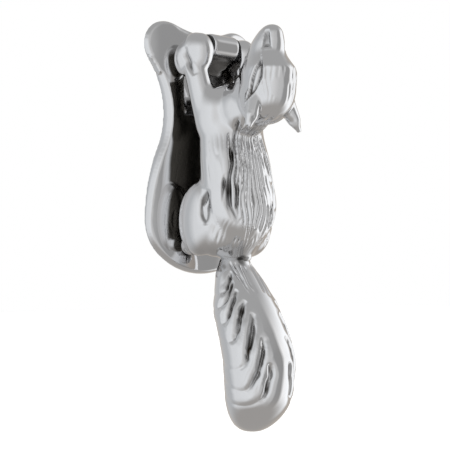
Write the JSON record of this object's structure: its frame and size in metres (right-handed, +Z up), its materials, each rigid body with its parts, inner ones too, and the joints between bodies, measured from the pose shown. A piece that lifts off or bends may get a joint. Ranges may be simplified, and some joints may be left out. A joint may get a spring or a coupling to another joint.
{
  "type": "door knocker",
  "caption": "Figural door knocker: a climbing squirrel hangs by its hands from a lug on a waisted back plate, swings out and strikes the plate with its feet.",
  "frame": {"origin": "centre of the two door bolts, on the plate's flat back face", "axes": "+X to the viewer's right, +Y into the door, +Z up the plate"},
  "size_m": [0.0678, 0.0679, 0.197],
  "materials": {
    "polished_nickel": "bright nickel plate, mirror polished over cast brass",
    "bright_steel": "ground and lightly oiled",
    "insert_brass": "machined",
    "black_nylon": "punched sheet"
  },
  "bodies": {
    "plate": {"backplate": "polished_nickel", "insert_upper": "insert_brass", "insert_lower": "insert_brass", "hinge_pin": "bright_steel", "pin_grub_screw": "bright_steel", "washer_left": "black_nylon", "washer_right": "black_nylon"},
    "figure": {"figure_body": "polished_nickel", "tail": "polished_nickel", "tail_stud": "bright_steel", "pin_plug_left": "polished_nickel", "pin_plug_right": "polished_nickel"}
  },
  "joints": [
    {"name": "figure_swing", "type": "hinge", "parent": "plate", "child": "figure", "pos_m": [0, -0.017, 0.0484], "axis": [-1, 0, 0], "range_deg": [0, 95]}
  ]
}
